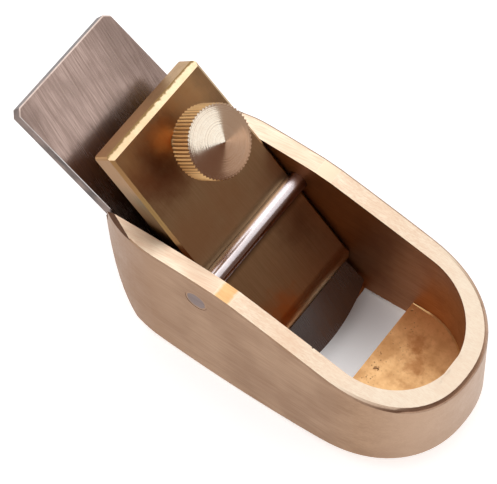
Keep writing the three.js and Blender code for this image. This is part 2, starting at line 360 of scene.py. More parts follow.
def pushOut(x, y, z):
    bpy.ops.mesh.extrude_region_move(TRANSFORM_OT_translate={"value": (x, y, z)})


def widen(share):
    # about the Z axis
    bpy.ops.transform.resize(value=(share, share, 1), center_override=(0, 0, 0))


def weld(reach):
    pickAll()
    bpy.ops.mesh.remove_doubles(threshold=reach)


def faceOutwards():
    pickAll()
    bpy.ops.mesh.normals_make_consistent(inside=False)


def planeOff(place, normal):
    # all that lies past the plane goes, and the cut is closed
    pickAll()
    bpy.ops.mesh.bisect(
        plane_co=place, plane_no=normal, use_fill=True, clear_outer=True, threshold=cutTolerance
    )


def applyModifier(piece, kind, **settings):
    takeUp(piece)
    modifier = piece.modifiers.new(kind.lower(), kind)
    for key, value in settings.items():
        setattr(modifier, key, value)
    bpy.ops.object.modifier_apply(modifier=modifier.name)


def carve(piece, cutter, matrix):
    cutter.matrix_world = matrix
    applyModifier(piece, "BOOLEAN", operation="DIFFERENCE", solver="EXACT", object=cutter)
    bpy.data.objects.remove(cutter)


def nameNew(name):
    piece = bpy.context.object
    piece.name = piece.data.name = name
    return piece


def newPiece(name):
    # one vertex at the origin, to be drawn out
    bpy.ops.mesh.primitive_plane_add(size=1)
    piece = nameNew(name)
    openMesh(piece)
    pickAll()
    bpy.ops.mesh.merge(type="CENTER")
    return piece


def drawFace(piece, points):
    # the selected vertex is drawn along the points, and the loop is closed and filled
    bpy.ops.transform.translate(value=points[0])
    for here, there in zip(points, points[1:]):
        pushOut(*(there - here))
    ends = (points[0], points[-1])
    pick(piece, "verts", lambda vertex: any((vertex.co - end).length < samePlace for end in ends))
    bpy.ops.mesh.edge_face_add()
    pickAll()
    bpy.ops.mesh.edge_face_add()


def copyOfNode(node, name, dissolveAngle):
    piece = bpy.data.objects.new(name, frame["nodes"][node].data.copy())
    bpy.context.scene.collection.objects.link(piece)
    piece.data.materials.clear()
    openMesh(piece)
    bpy.ops.mesh.customdata_custom_splitnormals_clear()
    weld(0.002 * mm)
    bpy.ops.mesh.dissolve_limited(angle_limit=math.radians(dissolveAngle))
    closeMesh()
    return piece


def bevelEdges(piece, zoneOf, widths):
    # each edge gets the width that is given for the two zones it lies between
    openMesh(piece)
    mesh = bmesh.from_edit_mesh(piece.data)
    weight = mesh.edges.layers.float.new("bevel_weight_edge")
    widest = max(widths.values())
    for edge in mesh.edges:
        pair = tuple(sorted(zoneOf(face.normal) for face in edge.link_faces))
        edge[weight] = widths.get(pair, 0) / widest
    bmesh.update_edit_mesh(piece.data)
    closeMesh()
    applyModifier(
        piece, "BEVEL", width=widest, segments=1, limit_method="WEIGHT", use_clamp_overlap=False,
        miter_outer="MITER_SHARP",
    )


def addFinishes(piece, materials):
    for material in materials.values():
        piece.data.materials.append(material)


def paint(piece, materials, chooser):
    # faces that already have a finish other than the first one keep it
    names = list(materials)
    if not piece.data.materials:
        addFinishes(piece, materials)
    for face in piece.data.polygons:
        if face.material_index == 0:
            face.material_index = names.index(chooser(face.center, face.normal))


def finishPiece(piece, smoothAngle, node, body):
    takeUp(piece)
    bpy.ops.object.transform_apply(location=True, rotation=True, scale=True)
    bpy.ops.object.shade_smooth_by_angle(angle=math.radians(smoothAngle))
    applyModifier(piece, "WEIGHTED_NORMAL", keep_sharp=True, weight=100)
    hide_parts(node)
    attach(piece, body)
    print("made", piece.name, len(piece.data.polygons), "faces")


def onSlope(arrow, turn):
    # forward, across and up as seen along a slope
    return Matrix.Rotation(-turn, 3, "Y") @ arrow


def leanBack(piece, place):
    # what was modelled upright leans as the cap and the screw do
    piece.matrix_world = Matrix.Translation(place) @ Matrix.Rotation(capTurn, 4, "Y")


def grainTurn(along, up):
    # turns a pattern so that its X runs along one direction, and its Z along another
    along, up = along.normalized(), up.normalized()
    return tuple(Matrix((along, up.cross(along), up)).to_euler())


# Metal finishes: fine lines along the grain, coarser ones under them, and clouds of tarnish over both.
# A dress adds what is found on one finish alone.
def metal(name, base, dress=None, **changes):
    look = {**base, **changes}
    material, shader, start = newMaterial(name)
    spot = start.spot()
    turned = spot.moved(turn=look["turn"])
    length, pitch = look["brushLength"], look["brushPitch"]
    wide = pitch * look["coarseTimes"]
    fine = turned.moved(scale=(1 / length, 1 / pitch, 1 / pitch)).noise(1, detail=4, roughness=0.62)
    # shifted, so that the coarse lines don't repeat the fine ones
    coarse = turned.moved(scale=(1 / (2 * length), 1 / wide, 1 / wide), shift=(3, 5, 7))
    coarse = coarse.noise(1, detail=2, roughness=0.5)
    brush = fine * (1 - look["coarseShare"]) + coarse * look["coarseShare"]
    half = look["streakSoft"]
    streaks = brush.fade(0.5 - half, 0.5 + half)
    clouds = spot.noise(look["cloudSize"]).fade(*look["cloudRange"])
    clean = blendColors(streaks * look["streak"], tint(*look["clean"]), tint(*look["streakColor"]))
    color = clean.tinted(clouds * look["cloud"], look["tarnish"])
    rough = look["roughness"] + streaks * look["roughSpread"] + clouds * look["cloudRough"]
    height = brush * look["brushDepth"]
    for axis, *shade in look["shades"]:
        color = color.shaded(spot.axis(axis), *shade)
    if dress:
        color, rough, height = dress(spot, color, rough, height)
    bump = height.node("ShaderNodeBump", None, {"Height": height, "Strength": 1, "Distance": 1})
    color.feed(shader, "Base Color")
    rough.feed(shader, "Roughness")
    bump.feed(shader, "Normal")
    shader.inputs["Metallic"].default_value = 1
    return material


def raggedSpots(spot, rows, outline, ragged, core):
    # for each row of place, reach and more: the mask of its spot, and the rest of the row
    noise = spot.noise(*outline)
    for place, reach, *rest in rows:
        reach *= mm
        away = spot.awayFrom(Vector(place) * mm).ragged(noise, reach * ragged)
        yield (away.fade(reach, reach * core), *rest)


brushedBrass = {
    "clean": (200, 165, 134),
    "streakColor": (178, 142, 112),
    "streak": 0.7,
    "streakSoft": 0.16,
    "coarseShare": 0.35,
    "coarseTimes": 5,
    "tarnish": (166, 128, 98),
    "cloud": 0.5,
    "cloudSize": 9 * mm,
    "cloudRange": (0.42, 0.66),
    "cloudRough": 0.06,
    "roughness": 0.3,
    "roughSpread": 0.08,
    "brushLength": 3.2 * mm,
    "brushPitch": 0.16 * mm,
    "brushDepth": 0.006 * mm,
    "turn": (0, 0, 0),
    # rows of an axis and a shade, which is the start and end of its way in, its share and its colour
    "shades": (),
}


# Plane body: a copy of its solid, with filed facets at the heel and eased edges
planeBody = {
    "dissolveAngle": 0.02,
    "smoothAngle": 30,
    "rimRings": (0.2 * mm, 0.3 * mm),
    "sideDrops": (0.13 * mm, 0),
    "toeDrops": (0.58 * mm, 0.25 * mm),
    "toeDropRange": (8 * mm, 26 * mm),
    "rimFrom": -13.9 * mm,
    "floorFillet": 0.18 * mm,
    "leastPainted": 0.05 * mm,  # a ring that moves by less keeps the finish around it
    "toeMiddle": 16.4 * mm,
    "wallFrom": 9.35 * mm,
    "holeReach": 2 * mm,
    "holeShare": 0.974,
    "mouthFrom": 6 * mm,
    "mouthTo": 14.2 * mm,
    "crestFrom": -1.35 * mm,
    "crestTo": 1.15 * mm,
    "topFrom": 12 * mm,
    "facetTip": Vector((-13.9, 11.31, 20.97)) * mm,
    "facetTail": Vector((-17.6, 9.45, 20.63)) * mm,
    "facetSlope": math.radians(40),
    "facetBlock": Vector((12, 8, 4)) * mm,
    # place and reach in mm, and strength, of the brown stains in the well; a noise is its size, detail and
    # roughness, and an outline is its noise, how ragged it is, and its core's share of the reach
    "stains": (
        ((17.6, 5.0, 4.4), 2.1, 0.7),
        ((19.2, 2.3, 4.4), 2.5, 0.6),
        ((21.4, -1.8, 4.4), 2.2, 0.4),
        ((18.2, -5.2, 4.4), 1.2, 0.35),
    ),
    "stainColor": (176, 112, 62),
    "stainOutline": ((1.1 * mm, 4.0, 0.6), 1.6, 0.1),
    "mottleNoise": (0.45 * mm, 4.0, 0.7),
    "mottle": (0.5, 0.75, 0.3, (176, 112, 62)),
    # the casting's pores, in patches close to the mouth
    "poreSize": 0.42 * mm,
    "poreRange": (0.3, 0.12),
    "porePatches": (1.6 * mm, 2.0, 0.5),
    "patchRange": (0.5, 0.58),
    "poreReach": (19.4 * mm, 13.9 * mm),
    "poreColor": (166, 126, 88),
    "poreShare": 0.8,
    "poreRough": 0.2,
    "poreDepth": 0.015 * mm,
    # place, reach and depth in mm of dents, on the well's floor and along the near wall's inner edge
    "floorDents": (((15.4, -0.9, 4.4), 0.32, 0.05), ((14.4, 8.3, 4.4), 0.18, 0.05)),
    "wallDents": (((11.76, -9.3, 18.95), 0.2, 0.05), ((14.32, -9.3, 18.4), 0.16, 0.05)),
    "wallDentColor": (70, 48, 40),
    "dentOutline": ((0.3 * mm, 2.0, 0.5), 2.5, 0.5),
    "dentShare": 0.9,
    # the flat filed on the crest, orange on the near wall only; a wave is its size and how far it swings
    "crestWave": (0.5 * mm, 0.5 * mm),
    "crestEnds": ((-0.8 * mm, -1.3 * mm), (0.6 * mm, 1.1 * mm)),
    "crestAcross": (0, 5 * mm),
    "crestFarShare": 0.85,
    "crestPale": (248, 224, 198),
}


def addDents(spot, color, height, places, shade):
    for dent, depth in raggedSpots(spot, places, *planeBody["dentOutline"]):
        color = color.tinted(dent * planeBody["dentShare"], shade)
        height = height - dent * (depth * mm)
    return color, height


def wellWear(spot, color, rough, height):
    wear = planeBody
    for stain, strength in raggedSpots(spot, wear["stains"], *wear["stainOutline"]):
        color = color.tinted(stain * strength, wear["stainColor"])
    cells = spot.node("ShaderNodeTexVoronoi", None, {"Vector": spot, "Scale": 1 / wear["poreSize"]})
    patches = spot.noise(*wear["porePatches"]).fade(*wear["patchRange"])
    nearMouth = spot.axis("X").fade(*wear["poreReach"])
    pores = cells.fade(*wear["poreRange"]) * patches * nearMouth
    color = color.tinted(pores * wear["poreShare"], wear["poreColor"])
    color = color.shaded(spot.noise(*wear["mottleNoise"]), *wear["mottle"])
    color, height = addDents(spot, color, height, wear["floorDents"], wear["poreColor"])
    return color, rough + pores * wear["poreRough"], height - pores * wear["poreDepth"]


def wallDents(spot, color, rough, height):
    color, height = addDents(spot, color, height, planeBody["wallDents"], planeBody["wallDentColor"])
    return color, rough, height


def fadingCrest(spot, color, rough, height):
    # pale past both ends, along a wavy line, and on the far wall
    wear = planeBody
    along = spot.axis("X").wavy(spot, *wear["crestWave"])
    heelEnd, toeEnd = (along.fade(*end) for end in wear["crestEnds"])
    farWall = spot.axis("Y").fade(*wear["crestAcross"]) * wear["crestFarShare"]
    pale = heelEnd.math("MAXIMUM", toeEnd).math("MAXIMUM", farWall)
    return color.tinted(pale, wear["crestPale"]), rough, height


bodyFinishes = {
    "outside": metal(
        "bodyBrushed", brushedBrass, clean=(166, 131, 99), streakColor=(148, 113, 83), tarnish=(138, 103, 74),
        shades=(
            ("X", 19 * mm, 27 * mm, 0.7, (188, 158, 133)),  # paler towards the toe
            ("X", -5 * mm, -15 * mm, 0.9, (146, 107, 72)),  # darker towards the heel
        ),
    ),
    # the chamfer along the outer edge, darker than the top
    "edge": metal("bodyWornEdge", brushedBrass, clean=(178, 146, 122), streakColor=(148, 118, 96)),
    "eased": metal(
        "bodyEasedEdge", brushedBrass, clean=(206, 178, 154), streakColor=(186, 156, 132),
        shades=(("X", 22 * mm, 15.6 * mm, 1, (250, 228, 203)),),  # starts out in the colour of the top
    ),
    "top": metal(
        "bodyFiledTop", brushedBrass, wallDents, clean=(252, 232, 207), streakColor=(236, 202, 173),
        tarnish=(246, 212, 183), streak=0.9, cloud=0.4, roughness=0.31,
        turn=grainTurn(Vector((1, 0.12, 0)), Vector((0, 0, 1))), brushLength=2.6 * mm, brushPitch=0.13 * mm,
        shades=(("X", 10 * mm, 24 * mm, 0.5, (255, 239, 217)),),  # paler towards the toe
    ),
    "crest": metal(
        "crestFlat", brushedBrass, fadingCrest, clean=(246, 198, 142), streakColor=(236, 180, 122),
        tarnish=(242, 190, 134), cloud=0.3,
    ),
    "inside": metal(
        "bodyInner", brushedBrass, clean=(170, 111, 66), streakColor=(156, 100, 57), tarnish=(124, 72, 38),
        roughness=0.42, brushDepth=0.002 * mm,
    ),
    "floor": metal(
        "wellFloor", brushedBrass, wellWear, clean=(246, 198, 142), streakColor=(234, 182, 124),
        tarnish=(204, 148, 94), streak=0.5, cloudSize=3 * mm, cloud=0.6, roughness=0.36,
        brushLength=0.5 * mm, brushPitch=0.4 * mm,
        # the darker, browner tint towards the far wall is painted shade
        shades=(("Y", 0, 9 * mm, 0.3, (200, 138, 84)),),  # browner towards the far wall
    ),
    "fillet": metal("floorFillet", brushedBrass, clean=(240, 196, 138), streakColor=(230, 182, 124)),
    "facet": metal(
        "heelFacet", brushedBrass, clean=(112, 82, 64), streakColor=(92, 64, 50), tarnish=(80, 56, 46),
        roughness=0.4,
    ),
    "sole": metal("solePolished", brushedBrass, clean=(222, 190, 156), roughness=0.24),
}


def besidePin(place):
    return Vector((place.x - pinAxis.x, place.z - pinAxis.z)).length < planeBody["holeReach"]


def bodyZone(place, normal):
    size = planeBody
    if besidePin(place) and abs(normal.y) < facing and abs(place.y) > size["wallFrom"]:
        return "hole"
    if normal.z > leaning and normal.x > 0.4 and place.x < size["mouthTo"]:  # up and towards the toe
        return "bed"
    if normal.z > 0.55 and place.z > size["topFrom"]:  # the tops of the walls slope by less than this
        return "top"
    if normal.z > facing:
        return "floor"
    if normal.z < -0.25 or (normal.x < -0.6 and place.x < -size["mouthFrom"]):  # or the heel's back
        return "sole"
    if abs(normal.x) > facing and size["mouthFrom"] < place.x < size["mouthTo"]:
        return "mouth"
    if place.x > size["toeMiddle"]:
        outward = (place.x - size["toeMiddle"]) * normal.x + place.y * normal.y > 0
    else:
        outward = normal.y * place.y > 0
    return "outside" if outward else "inside"


def ringInside(piece, zone, width, wall, fromX):
    # a ring of faces inside the outline of one zone; returns the places of its corners along one wall
    pick(piece, "faces", lambda face: bodyZone(face.calc_center_median(), face.normal) == zone)
    corners = []
    for vertex in bmesh.from_edit_mesh(piece.data).verts:
        beside = [bodyZone(face.calc_center_median(), face.normal) for face in vertex.link_faces]
        if zone in beside and wall in beside and vertex.co.x > fromX:
            corners.append(vertex.co.copy())
    bpy.ops.mesh.inset(thickness=width, use_even_offset=False)
    return corners


def sinkRing(piece, corners, nearest, furthest, dropOf, finish):
    # the vertices that far from the old corners sink by their own drop, in steps of 0.01 mm, and the
    # ring gets its finish
    groups = {}
    for vertex in bmesh.from_edit_mesh(piece.data).verts:
        away = min((vertex.co - corner).length for corner in corners)
        if nearest <= away <= furthest:
            drop = round(dropOf(vertex.co.x) / mm, 2) * mm
            groups.setdefault(drop, set()).add(vertex.index)
    for drop, group in groups.items():
        pick(piece, "verts", lambda vertex: vertex.index in group)
        bpy.ops.transform.translate(value=(0, 0, -drop))
        if abs(drop) > planeBody["leastPainted"]:
            pick(piece, "faces", lambda face: (
                face.normal.z > 0.3 and any(vertex.index in group for vertex in face.verts)
            ))
            piece.active_material_index = list(bodyFinishes).index(finish)
            bpy.ops.object.material_slot_assign()


def toeDrop(order):
    # how far the outline (0) or the ring inside it (1) sinks, which grows towards the toe
    size = planeBody
    side, toe = size["sideDrops"][order], size["toeDrops"][order]
    low, high = size["toeDropRange"]

    def drop(x):
        share = min(1, max(0, (x - low) / (high - low)))
        return side + (toe - side) * share ** 2

    return drop


def fileFacet(piece, side):
    # a slanting cut along the outer edge of the top beside the heel; returns the way that it faces
    size = planeBody
    tip, tail = (Vector((end.x, end.y * side, end.z)) for end in (size["facetTip"], size["facetTail"]))
    along = (tail - tip).normalized()
    outward = Vector((along.y, -along.x, 0)).normalized() * side
    normal = outward * math.sin(size["facetSlope"]) + Vector((0, 0, math.cos(size["facetSlope"])))
    normal = (normal - along * normal.dot(along)).normalized()
    block = size["facetBlock"]
    turn = Matrix((along, normal.cross(along), normal)).transposed().to_4x4()
    middle = (tip + tail) / 2 + normal * block.z / 2
    bpy.ops.mesh.primitive_cube_add(size=1)
    carve(piece, bpy.context.object, Matrix.Translation(middle) @ turn @ Matrix.Diagonal((*block, 1)))
    return normal


def makeBody():
    size = planeBody
    piece = copyOfNode("plane_body", "planeBody", size["dissolveAngle"])
    addFinishes(piece, bodyFinishes)
    openMesh(piece)
    first, second = size["rimRings"]
    corners = ringInside(piece, "top", first, "outside", size["rimFrom"])
    bpy.ops.mesh.inset(thickness=second, use_even_offset=False)
    # the ring's own vertices lie a little off the old corners, and the outline's on them
    sinkRing(piece, corners, 0.3 * first, 1.6 * first, toeDrop(1), "eased")
    sinkRing(piece, corners, 0, 0.1 * first, toeDrop(0), "edge")
    fillet = size["floorFillet"]
    corners = ringInside(piece, "floor", fillet, "inside", size["mouthTo"])
    sinkRing(piece, corners, 0, 0.1 * fillet, lambda x: -fillet, "fillet")
    # the pin's holes close up to a hairline
    pick(piece, "verts", lambda vertex: besidePin(vertex.co))
    share = size["holeShare"]
    bpy.ops.transform.resize(value=(share, 1, share), center_override=pinAxis)
    closeMesh()
    facets = [fileFacet(piece, side) for side in (1, -1)]

    def finishOf(place, normal):
        zone = bodyZone(place, normal)
        if place.x < size["facetTip"].x and any(normal.dot(facet) > sameWay for facet in facets):
            return "facet"
        if zone == "top" and size["crestFrom"] < place.x < size["crestTo"]:
            return "crest"
        return {"hole": "facet", "bed": "inside", "mouth": "inside"}.get(zone, zone)

    paint(piece, bodyFinishes, finishOf)
    finishPiece(piece, size["smoothAngle"], "plane_body", "body")


makeBody()

# Cross pin: a polished rod with riveted ends, filed flush with the walls
crossPin = {
    "sides": 72,
    "smoothAngle": 40,
    "radius": 1.3 * mm,
    "headRadius": 1.6 * mm,
    "headDepth": 0.6 * mm,
    "endRound": 0.05 * mm,
    "smear": (1.2 * mm, 1.5 * mm, 1, (164, 129, 98)),  # from the middle of the end
    "smearWave": (0.5 * mm, 0.4 * mm),
}


def smearedRim(spot, color, rough, height):
    # brass is filed over the rim of each end
    wear = crossPin
    near, far = (spot.awayFrom(Vector((pinAxis.x, end.y, pinAxis.z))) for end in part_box("cross_pin"))
    out = near.math("MINIMUM", far).wavy(spot, *wear["smearWave"])
    return color.shaded(out, *wear["smear"]), rough, height


def makePin():
    size = crossPin
    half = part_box("cross_pin")[1].y - size["endRound"] / 2
    bpy.ops.mesh.primitive_cylinder_add(
        vertices=size["sides"], radius=size["radius"], depth=2 * (half - size["headDepth"])
    )
    piece = nameNew("crossPin")
    for side in (1, -1):
        openMesh(piece)
        pick(piece, "faces", lambda face: face.normal.z * side > facing)
        pushOut(0, 0, side * size["headDepth"])
        widen(size["headRadius"] / size["radius"])
        bpy.ops.mesh.bevel(offset=size["endRound"], segments=2)
        closeMesh()
    rod = metal(
        "pinPolished", brushedBrass, clean=(253, 243, 245), streakColor=(230, 216, 217),
        tarnish=(204, 188, 188), cloud=0.3, cloudRough=0.06, roughness=0.14, roughSpread=0.05,
        brushDepth=0.0015 * mm, brushLength=0.3 * mm, brushPitch=0.1 * mm,
        turn=grainTurn(Vector((1, 0, 0)), Vector((0, 1, 0))),
        # painted shade: the rod darkens on the side that faces the toe, and close to the far wall
        shades=(
            ("X", pinAxis.x + 0.25 * mm, pinAxis.x + 1.05 * mm, 0.6, (116, 104, 106)),  # the toe's side
            ("Y", 7.2 * mm, 9 * mm, 0.75, (106, 82, 74)),  # close to the far wall
        ),
    )
    end = metal(
        "pinEndFiled", brushedBrass, smearedRim, clean=(150, 131, 124), streakColor=(128, 109, 102),
        tarnish=(112, 98, 98), roughness=0.35,
    )
    piece.matrix_world = Matrix.Translation(pinAxis) @ Matrix.Rotation(math.pi / 2, 4, "X")
    inner = half - size["headDepth"] / 2
    paint(piece, {"rod": rod, "end": end}, lambda place, normal: "rod" if abs(place.z) < inner else "end")
    finishPiece(piece, size["smoothAngle"], "cross_pin", "body")


makePin()

# Cutting iron: ground steel with slanting grinding marks, darkened towards its edge
cuttingIron = {
    "dissolveAngle": 0.3,
    "smoothAngle": 30,
    # the width of the small chamfer between two sides
    "chamfers": {
        ("end", "top"): 0.16 * mm,
        ("side", "top"): 0.06 * mm,
        ("side", "under"): 0.1 * mm,
        ("end", "under"): 0.1 * mm,
    },
    "flat": 0.95,  # the least share of up or down in the normal of its top and underside
    "markTurn": math.radians(-12),
    "darkRange": (-5 * mm, -1 * mm),
    "darkShare": 0.85,
    "darkColor": (90, 91, 93),
    # brown at the near rear corner and along the far side
    "brownColor": (118, 98, 90),
    "cornerAlong": (-37 * mm, -42 * mm),
    "cornerAcross": (-5 * mm, -9 * mm),
    "cornerShare": 0.4,
    "farRange": (2 * mm, 9 * mm),
    "farShare": 0.5,
}


def ironZone(normal):
    n = onSlope(normal, bedTurn)
    if abs(n.z) > cuttingIron["flat"]:
        return "top" if n.z > 0 else "under"
    if abs(n.y) > facing:
        return "side"
    return "end" if n.x < -0.3 else "bevel"


def ironFinish(place, normal):
    n = onSlope(normal, bedTurn)
    if leaning < n.z < facing:  # the chamfers above, and the honed edge
        return "side" if abs(n.y) > leaning else "ridge" if n.x < -0.3 else "bevel"
    zone = ironZone(normal)
    return "side" if zone == "under" else zone


# darker towards the edge, and browner at the near rear corner and along the far side
def ironDarkening(spot, color, rough, height):
    wear = cuttingIron
    forward = spot.reachAlong(ironForward)
    dark = forward.fade(*wear["darkRange"])
    color = color.tinted(dark * wear["darkShare"], wear["darkColor"])
    corner = spot.axis("Y").fade(*wear["cornerAcross"]) * forward.fade(*wear["cornerAlong"])
    color = color.tinted(corner * wear["cornerShare"], wear["brownColor"])
    farSide = spot.axis("Y").fade(*wear["farRange"]) * (1 - dark)
    return color.tinted(farSide * wear["farShare"], wear["brownColor"]), rough, height


def makeIron():
    size = cuttingIron
    piece = copyOfNode("cutting_iron", "cuttingIron", size["dissolveAngle"])
    bevelEdges(piece, ironZone, size["chamfers"])
    up = Matrix.Rotation(bedTurn, 3, "Y") @ Vector((0, 0, 1))
    marks = Matrix.Rotation(size["markTurn"], 3, up) @ ironForward
    ground = {
        **brushedBrass, "clean": (200, 175, 164), "streakColor": (146, 122, 112), "tarnish": (166, 143, 133),
        "cloudSize": 5 * mm, "streak": 0.75, "streakSoft": 0.14, "coarseShare": 0.2, "roughness": 0.18,
        "brushLength": 4 * mm, "brushPitch": 0.09 * mm, "brushDepth": 0.003 * mm,
        "turn": grainTurn(marks, up),
    }
    finishes = {
        "top": metal("ironGround", ground, ironDarkening),
        "side": metal("ironSide", ground, clean=(72, 60, 55), streakColor=(56, 45, 41), roughness=0.3),
        "end": metal("ironEnd", ground, clean=(84, 70, 66), streakColor=(66, 54, 50), roughness=0.35),
        "ridge": metal("ironWornRidge", ground, clean=(222, 202, 192), streakColor=(194, 172, 162)),
        "bevel": metal("ironHoned", ground, clean=(206, 202, 200), streakColor=(190, 186, 184)),
    }
    paint(piece, finishes, ironFinish)
    finishPiece(piece, size["smoothAngle"], "cutting_iron", "iron")


makeIron()

# Lever cap, modelled on its own axes: X forward along its top face, Z off that face, the pin's axis at zero
leverCap = {
    "smoothAngle": 20,
    "lipReach": 13.64 * mm,
    "tailReach": 20.8 * mm,
    "topBelowPin": 0.48 * mm,
    "tailThickness": 3.4 * mm,
    "pinThickness": 2.5 * mm,
    "lipThickness": 2.17 * mm,
    "noseLength": 3.05 * mm,
    "noseSteps": 14,
    "lipLand": 0.9 * mm,
    "reliefLength": 3.2 * mm,
    "tailTaper": 0.3 * mm,
    "taperLength": 16 * mm,
    "rearChamfer": 0.8 * mm,
    "sideChamfer": 0.4 * mm,
    # a corner's radius, and how many flats go round it
    "lipCorner": (1.5 * mm, 6),
    "tailCorner": (0.5 * mm, 3),
    "easedEdge": 0.04 * mm,
    "easedFrom": math.radians(25),
    "grooveRadius": 1.32 * mm,
    "holeRadius": 1.6 * mm,
    "cutterSides": 64,
    "cutterLength": 40 * mm,
    "weldReach": 0.003 * mm,
    "grain": Vector((1, 0.03, 0)),
    # tarnish, painted shade and a painted reflection on the face: place and reach in mm, colour and strength
    "stains": (
        ((-17.2, 5.0, 30.2), 5.6, (246, 206, 150), 0.8),
        ((-17.1, 2.4, 30.1), 4.2, (214, 160, 104), 0.6),
        ((-16.8, 0.0, 29.7), 4.0, (206, 142, 88), 0.6),
        # partly tarnish, partly a painted reflection of the knob
        ((-15.9, -2.2, 28.9), 4.4, (202, 136, 82), 0.6),
        # the next two are painted shade beside the knob
        ((-14.4, -5.6, 27.5), 5.6, (136, 86, 58), 0.7),
        ((-13.0, -4.2, 26.0), 4.2, (130, 82, 54), 0.5),
        # painted shadow on the nose, beside the pin and the far wall
        ((-1.4, 6.0, 14.0), 4.5, (132, 92, 64), 0.6),
        ((3.0, -3.4, 8.8), 4.6, (214, 130, 58), 0.8),
    ),
    "stainOutline": ((2.2 * mm, 4.0, 0.6), 1, 0),
    # painted shade beside the pin
    "paintedShadeBesidePin": (2.5 * mm, 1.6 * mm, 0.8, (120, 99, 73)),  # from the pin's axis
    # painted shade on the rear chamfer's outer side
    "darkEdge": (0.3 * mm, 0.12 * mm, 1, (140, 112, 72)),  # from the tail
    "edgeWave": (0.7 * mm, 0.5 * mm),
}


def capOutline(side):
    size = leverCap
    top = -size["topBelowPin"]
    front, tail = size["lipReach"], -size["tailReach"]
    lipUp = top - size["lipThickness"]
    landUp = lipUp - size["lipLand"] * math.tan(capTurn - bedTurn)
    thinning = (size["tailThickness"] - size["pinThickness"]) / size["tailReach"]
    reliefX = front - size["lipLand"] - size["reliefLength"]
    points = [
        (tail + size["rearChamfer"], top),
        (tail, top - size["rearChamfer"]),
        (tail, top - size["tailThickness"]),
        (reliefX, top - size["pinThickness"] + thinning * reliefX),
        (front - size["lipLand"], landUp),
    ]
    for step in range(size["noseSteps"] + 1):
        turn = math.pi / 2 * step / size["noseSteps"]
        x = front - size["noseLength"] * (1 - math.cos(turn))
        points.append((x, lipUp + size["lipThickness"] * math.sin(turn)))
    return [Vector((x, side, z)) for x, z in points]


def trimCorner(x, y, radius, cuts, end, side):
    middle = Vector((x - end * radius, side * (y - radius), 0))
    for cut in range(1, cuts + 1):
        turn = math.pi / 2 * cut / (cuts + 1)
        normal = Vector((end * math.cos(turn), side * math.sin(turn), 0))
        planeOff(middle + normal * radius, normal)


def boreOut(piece, radius, matrix):
    bpy.ops.mesh.primitive_cylinder_add(
        vertices=leverCap["cutterSides"], radius=radius, depth=leverCap["cutterLength"]
    )
    carve(piece, bpy.context.object, matrix)


def capFinish(place, normal):
    if normal.z > leaning and normal.x < -leaning:
        return "edge"
    if normal.z > leaning and abs(normal.y) > leaning:
        return "ridge"
    if abs(normal.y) > facing:
        return "side"
    if normal.x < -0.3:
        return "end"
    return "top" if normal.z > -0.2 else "side"


def capStainsShadeAndReflection(spot, color, rough, height):
    wear = leverCap
    for stain, shade, strength in raggedSpots(spot, wear["stains"], *wear["stainOutline"]):
        color = color.tinted(stain * strength, shade)
    # painted shade beside the pin, where the face would mirror the pin's light
    away = spot.awayFromAxis(pinAxis, Vector((0, 1, 0)))
    return color.shaded(away, *wear["paintedShadeBesidePin"]), rough, height


def chamferShade(spot, color, rough, height):
    # painted shade: the filed rear chamfer darkens towards its outer side, along a wavy line, as a rounded
    # chamfer would
    wear = leverCap
    forward = screwAxis.cross(Vector((0, -1, 0)))
    fromTail = spot.reachAlong(forward) - (forward.dot(pinAxis) - wear["tailReach"])
    return color.shaded(fromTail.wavy(spot, *wear["edgeWave"]), *wear["darkEdge"]), rough, height


def makeCap():
    size = leverCap
    low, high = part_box("lever_cap")
    half, shift = (high.y - low.y) / 2, (high.y + low.y) / 2
    top = -size["topBelowPin"]
    front, tail = size["lipReach"], -size["tailReach"]
    piece = newPiece("leverCap")
    drawFace(piece, capOutline(-half))
    pushOut(0, 2 * half, 0)
    faceOutwards()
    for side in (1, -1):
        bend = Vector((tail + size["taperLength"], side * half, 0))
        drawnIn = Vector((-size["tailTaper"], side * size["taperLength"], 0)).normalized()
        planeOff(bend, drawnIn)
        for outward in (Vector((0, side, 0)), drawnIn):
            planeOff(bend + Vector((0, 0, top - size["sideChamfer"])), outward + Vector((0, 0, 1)))
        trimCorner(front, half, *size["lipCorner"], 1, side)
        trimCorner(tail, half - size["tailTaper"], *size["tailCorner"], -1, side)
    closeMesh()
    applyModifier(
        piece, "BEVEL", width=size["easedEdge"], segments=2, limit_method="ANGLE",
        angle_limit=size["easedFrom"],
    )
    piece.data.transform(Matrix.Translation((0, shift, 0)))
    boreOut(piece, size["grooveRadius"], Matrix.Rotation(math.pi / 2, 4, "X"))
    boreOut(piece, size["holeRadius"], Matrix.Translation(onSlope(screwPlace - pinAxis, capTurn)))
    openMesh(piece)
    weld(size["weldReach"])
    closeMesh()
    grain = Matrix.Rotation(capTurn, 3, "Y") @ size["grain"]
    face = {
        **brushedBrass, "clean": (198, 172, 136), "streakColor": (178, 150, 112), "tarnish": (172, 127, 87),
        "cloud": 0.6, "cloudSize": 11 * mm, "roughness": 0.28, "brushLength": 4 * mm,
        "turn": grainTurn(grain, screwAxis),
    }
    finishes = {
        "top": metal("capFace", face, capStainsShadeAndReflection),
        "edge": metal(
            "capChamfer", face, chamferShade, clean=(248, 224, 186), streakColor=(234, 204, 162),
            tarnish=(228, 192, 148),
        ),
        "ridge": metal("capSideRidge", face, clean=(168, 136, 88), streakColor=(150, 118, 74)),
        "side": metal(
            "capSide", face, clean=(114, 92, 52), streakColor=(94, 74, 40),
            # painted shade: the side darkens below, towards the body
            shades=(("Z", 28 * mm, 21 * mm, 0.85, (82, 56, 28)),),  # darker below
        ),
        "end": metal("capEnd", face, clean=(176, 142, 98), streakColor=(154, 120, 80)),
    }
    paint(piece, finishes, capFinish)
    leanBack(piece, pinAxis)
    finishPiece(piece, size["smoothAngle"], "lever_cap", "clamp")


makeCap()

